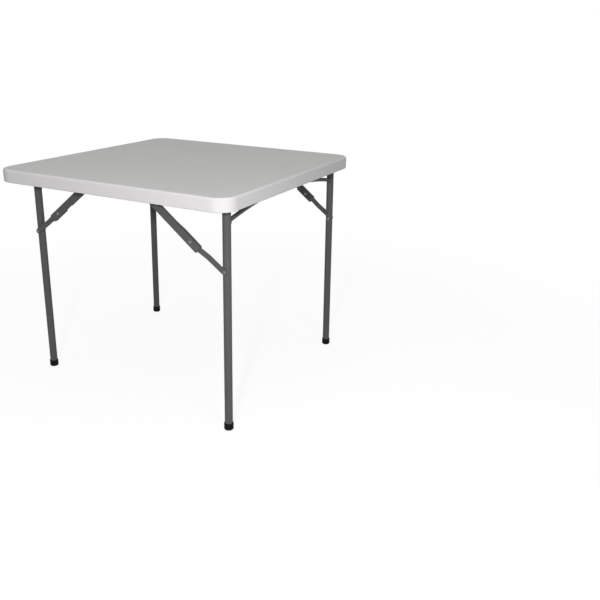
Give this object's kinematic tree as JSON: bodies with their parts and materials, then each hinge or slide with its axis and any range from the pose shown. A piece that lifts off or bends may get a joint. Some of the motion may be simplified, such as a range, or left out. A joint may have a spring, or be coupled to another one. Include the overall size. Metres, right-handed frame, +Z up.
{
  "type": "folding card table",
  "caption": "Square folding card table: moulded top on two folding tube leg frames, each held open by a pair of jointed braces.",
  "frame": {"origin": "on the floor under the centre of the top, with the legs standing", "axes": "+Z up; X is the direction the legs fold in, with the outer leg frame at +X and the inner one at -X; +Y across the table, along the pivots"},
  "size_m": [0.864, 0.864, 0.737],
  "materials": {
    "top_plastic": "fine grained, pale grey, blow-moulded",
    "painted_steel": "grey powder coat with a fine hammered grain",
    "foot_plastic": "black, satin",
    "black_plastic": "black, moulded",
    "zinc": "bright zinc plate"
  },
  "bodies": {
    "root": {"tabletop": "top_plastic", "side_rail_left": "painted_steel", "side_rail_right": "painted_steel", "rail_end_caps": "black_plastic", "rail_screws": "painted_steel", "outer_brace_bracket_left": "painted_steel", "outer_brace_bracket_right": "painted_steel", "outer_anchor_rivets": "zinc", "inner_brace_bracket_left": "painted_steel", "inner_brace_bracket_right": "painted_steel", "inner_anchor_rivets": "zinc", "bracket_screws": "zinc", "leg_clip_left": "black_plastic", "leg_clip_right": "black_plastic", "leg_clip_screws": "zinc"},
    "inner_leg_frame": {"inner_pivot_tube": "painted_steel", "inner_bow_tube": "painted_steel", "inner_leg_left": "painted_steel", "inner_foot_cap_left": "foot_plastic", "inner_leg_rivet_left": "zinc", "inner_leg_right": "painted_steel", "inner_foot_cap_right": "foot_plastic", "inner_leg_rivet_right": "zinc"},
    "inner_upper_link_left": {"inner_upper_brace_left": "painted_steel", "inner_elbow_rivet_left": "zinc"},
    "inner_lower_link_left": {"inner_lower_brace_left": "painted_steel", "inner_lower_brace_rivet_left": "zinc"},
    "inner_upper_link_right": {"inner_upper_brace_right": "painted_steel", "inner_elbow_rivet_right": "zinc"},
    "inner_lower_link_right": {"inner_lower_brace_right": "painted_steel", "inner_lower_brace_rivet_right": "zinc"},
    "outer_leg_frame": {"outer_pivot_tube": "painted_steel", "outer_bow_tube": "painted_steel", "outer_leg_left": "painted_steel", "outer_foot_cap_left": "foot_plastic", "outer_leg_rivet_left": "zinc", "outer_leg_right": "painted_steel", "outer_foot_cap_right": "foot_plastic", "outer_leg_rivet_right": "zinc"},
    "outer_upper_link_left": {"outer_upper_brace_left": "painted_steel", "outer_elbow_rivet_left": "zinc"},
    "outer_lower_link_left": {"outer_lower_brace_left": "painted_steel", "outer_lower_brace_rivet_left": "zinc"},
    "outer_upper_link_right": {"outer_upper_brace_right": "painted_steel", "outer_elbow_rivet_right": "zinc"},
    "outer_lower_link_right": {"outer_lower_brace_right": "painted_steel", "outer_lower_brace_rivet_right": "zinc"}
  },
  "joints": [
    {"name": "inner_leg_fold", "type": "hinge", "parent": "root", "child": "inner_leg_frame", "pos_m": [-0.385, 0, 0.707], "axis": [0, -1, 0], "range_deg": [0, 90.65]},
    {"name": "inner_brace_anchor_left", "type": "hinge", "parent": "root", "child": "inner_upper_link_left", "pos_m": [-0.1285, -0.3276, 0.707], "axis": [0, 1, 0], "range_deg": [0, 38.33]},
    {"name": "inner_brace_elbow_left", "type": "hinge", "parent": "inner_upper_link_left", "child": "inner_lower_link_left", "pos_m": [-0.27959, -0.3276, 0.58758], "axis": [0, -1, 0], "range_deg": [0, 182.9]},
    {"name": "inner_brace_anchor_right", "type": "hinge", "parent": "root", "child": "inner_upper_link_right", "pos_m": [-0.1285, 0.3276, 0.707], "axis": [0, 1, 0], "range_deg": [0, 38.33]},
    {"name": "inner_brace_elbow_right", "type": "hinge", "parent": "inner_upper_link_right", "child": "inner_lower_link_right", "pos_m": [-0.27959, 0.3276, 0.58758], "axis": [0, -1, 0], "range_deg": [0, 182.9]},
    {"name": "outer_leg_fold", "type": "hinge", "parent": "root", "child": "outer_leg_frame", "pos_m": [0.385, 0, 0.707], "axis": [0, 1, 0], "range_deg": [0, 90.65]},
    {"name": "outer_brace_anchor_left", "type": "hinge", "parent": "root", "child": "outer_upper_link_left", "pos_m": [0.1285, -0.3802, 0.707], "axis": [0, -1, 0], "range_deg": [0, 38.33]},
    {"name": "outer_brace_elbow_left", "type": "hinge", "parent": "outer_upper_link_left", "child": "outer_lower_link_left", "pos_m": [0.27959, -0.3802, 0.58758], "axis": [0, 1, 0], "range_deg": [0, 182.9]},
    {"name": "outer_brace_anchor_right", "type": "hinge", "parent": "root", "child": "outer_upper_link_right", "pos_m": [0.1285, 0.3802, 0.707], "axis": [0, -1, 0], "range_deg": [0, 38.33]},
    {"name": "outer_brace_elbow_right", "type": "hinge", "parent": "outer_upper_link_right", "child": "outer_lower_link_right", "pos_m": [0.27959, 0.3802, 0.58758], "axis": [0, 1, 0], "range_deg": [0, 182.9]}
  ],
  "couplings": [
    {"joint": "inner_brace_anchor_left", "follows": "inner_leg_fold", "ratio": 0.42275},
    {"joint": "inner_brace_elbow_left", "follows": "inner_leg_fold", "ratio": 2.0176},
    {"joint": "inner_brace_anchor_right", "follows": "inner_leg_fold", "ratio": 0.42275},
    {"joint": "inner_brace_elbow_right", "follows": "inner_leg_fold", "ratio": 2.0176},
    {"joint": "outer_brace_anchor_left", "follows": "outer_leg_fold", "ratio": 0.42275},
    {"joint": "outer_brace_elbow_left", "follows": "outer_leg_fold", "ratio": 2.0176},
    {"joint": "outer_brace_anchor_right", "follows": "outer_leg_fold", "ratio": 0.42275},
    {"joint": "outer_brace_elbow_right", "follows": "outer_leg_fold", "ratio": 2.0176}
  ]
}
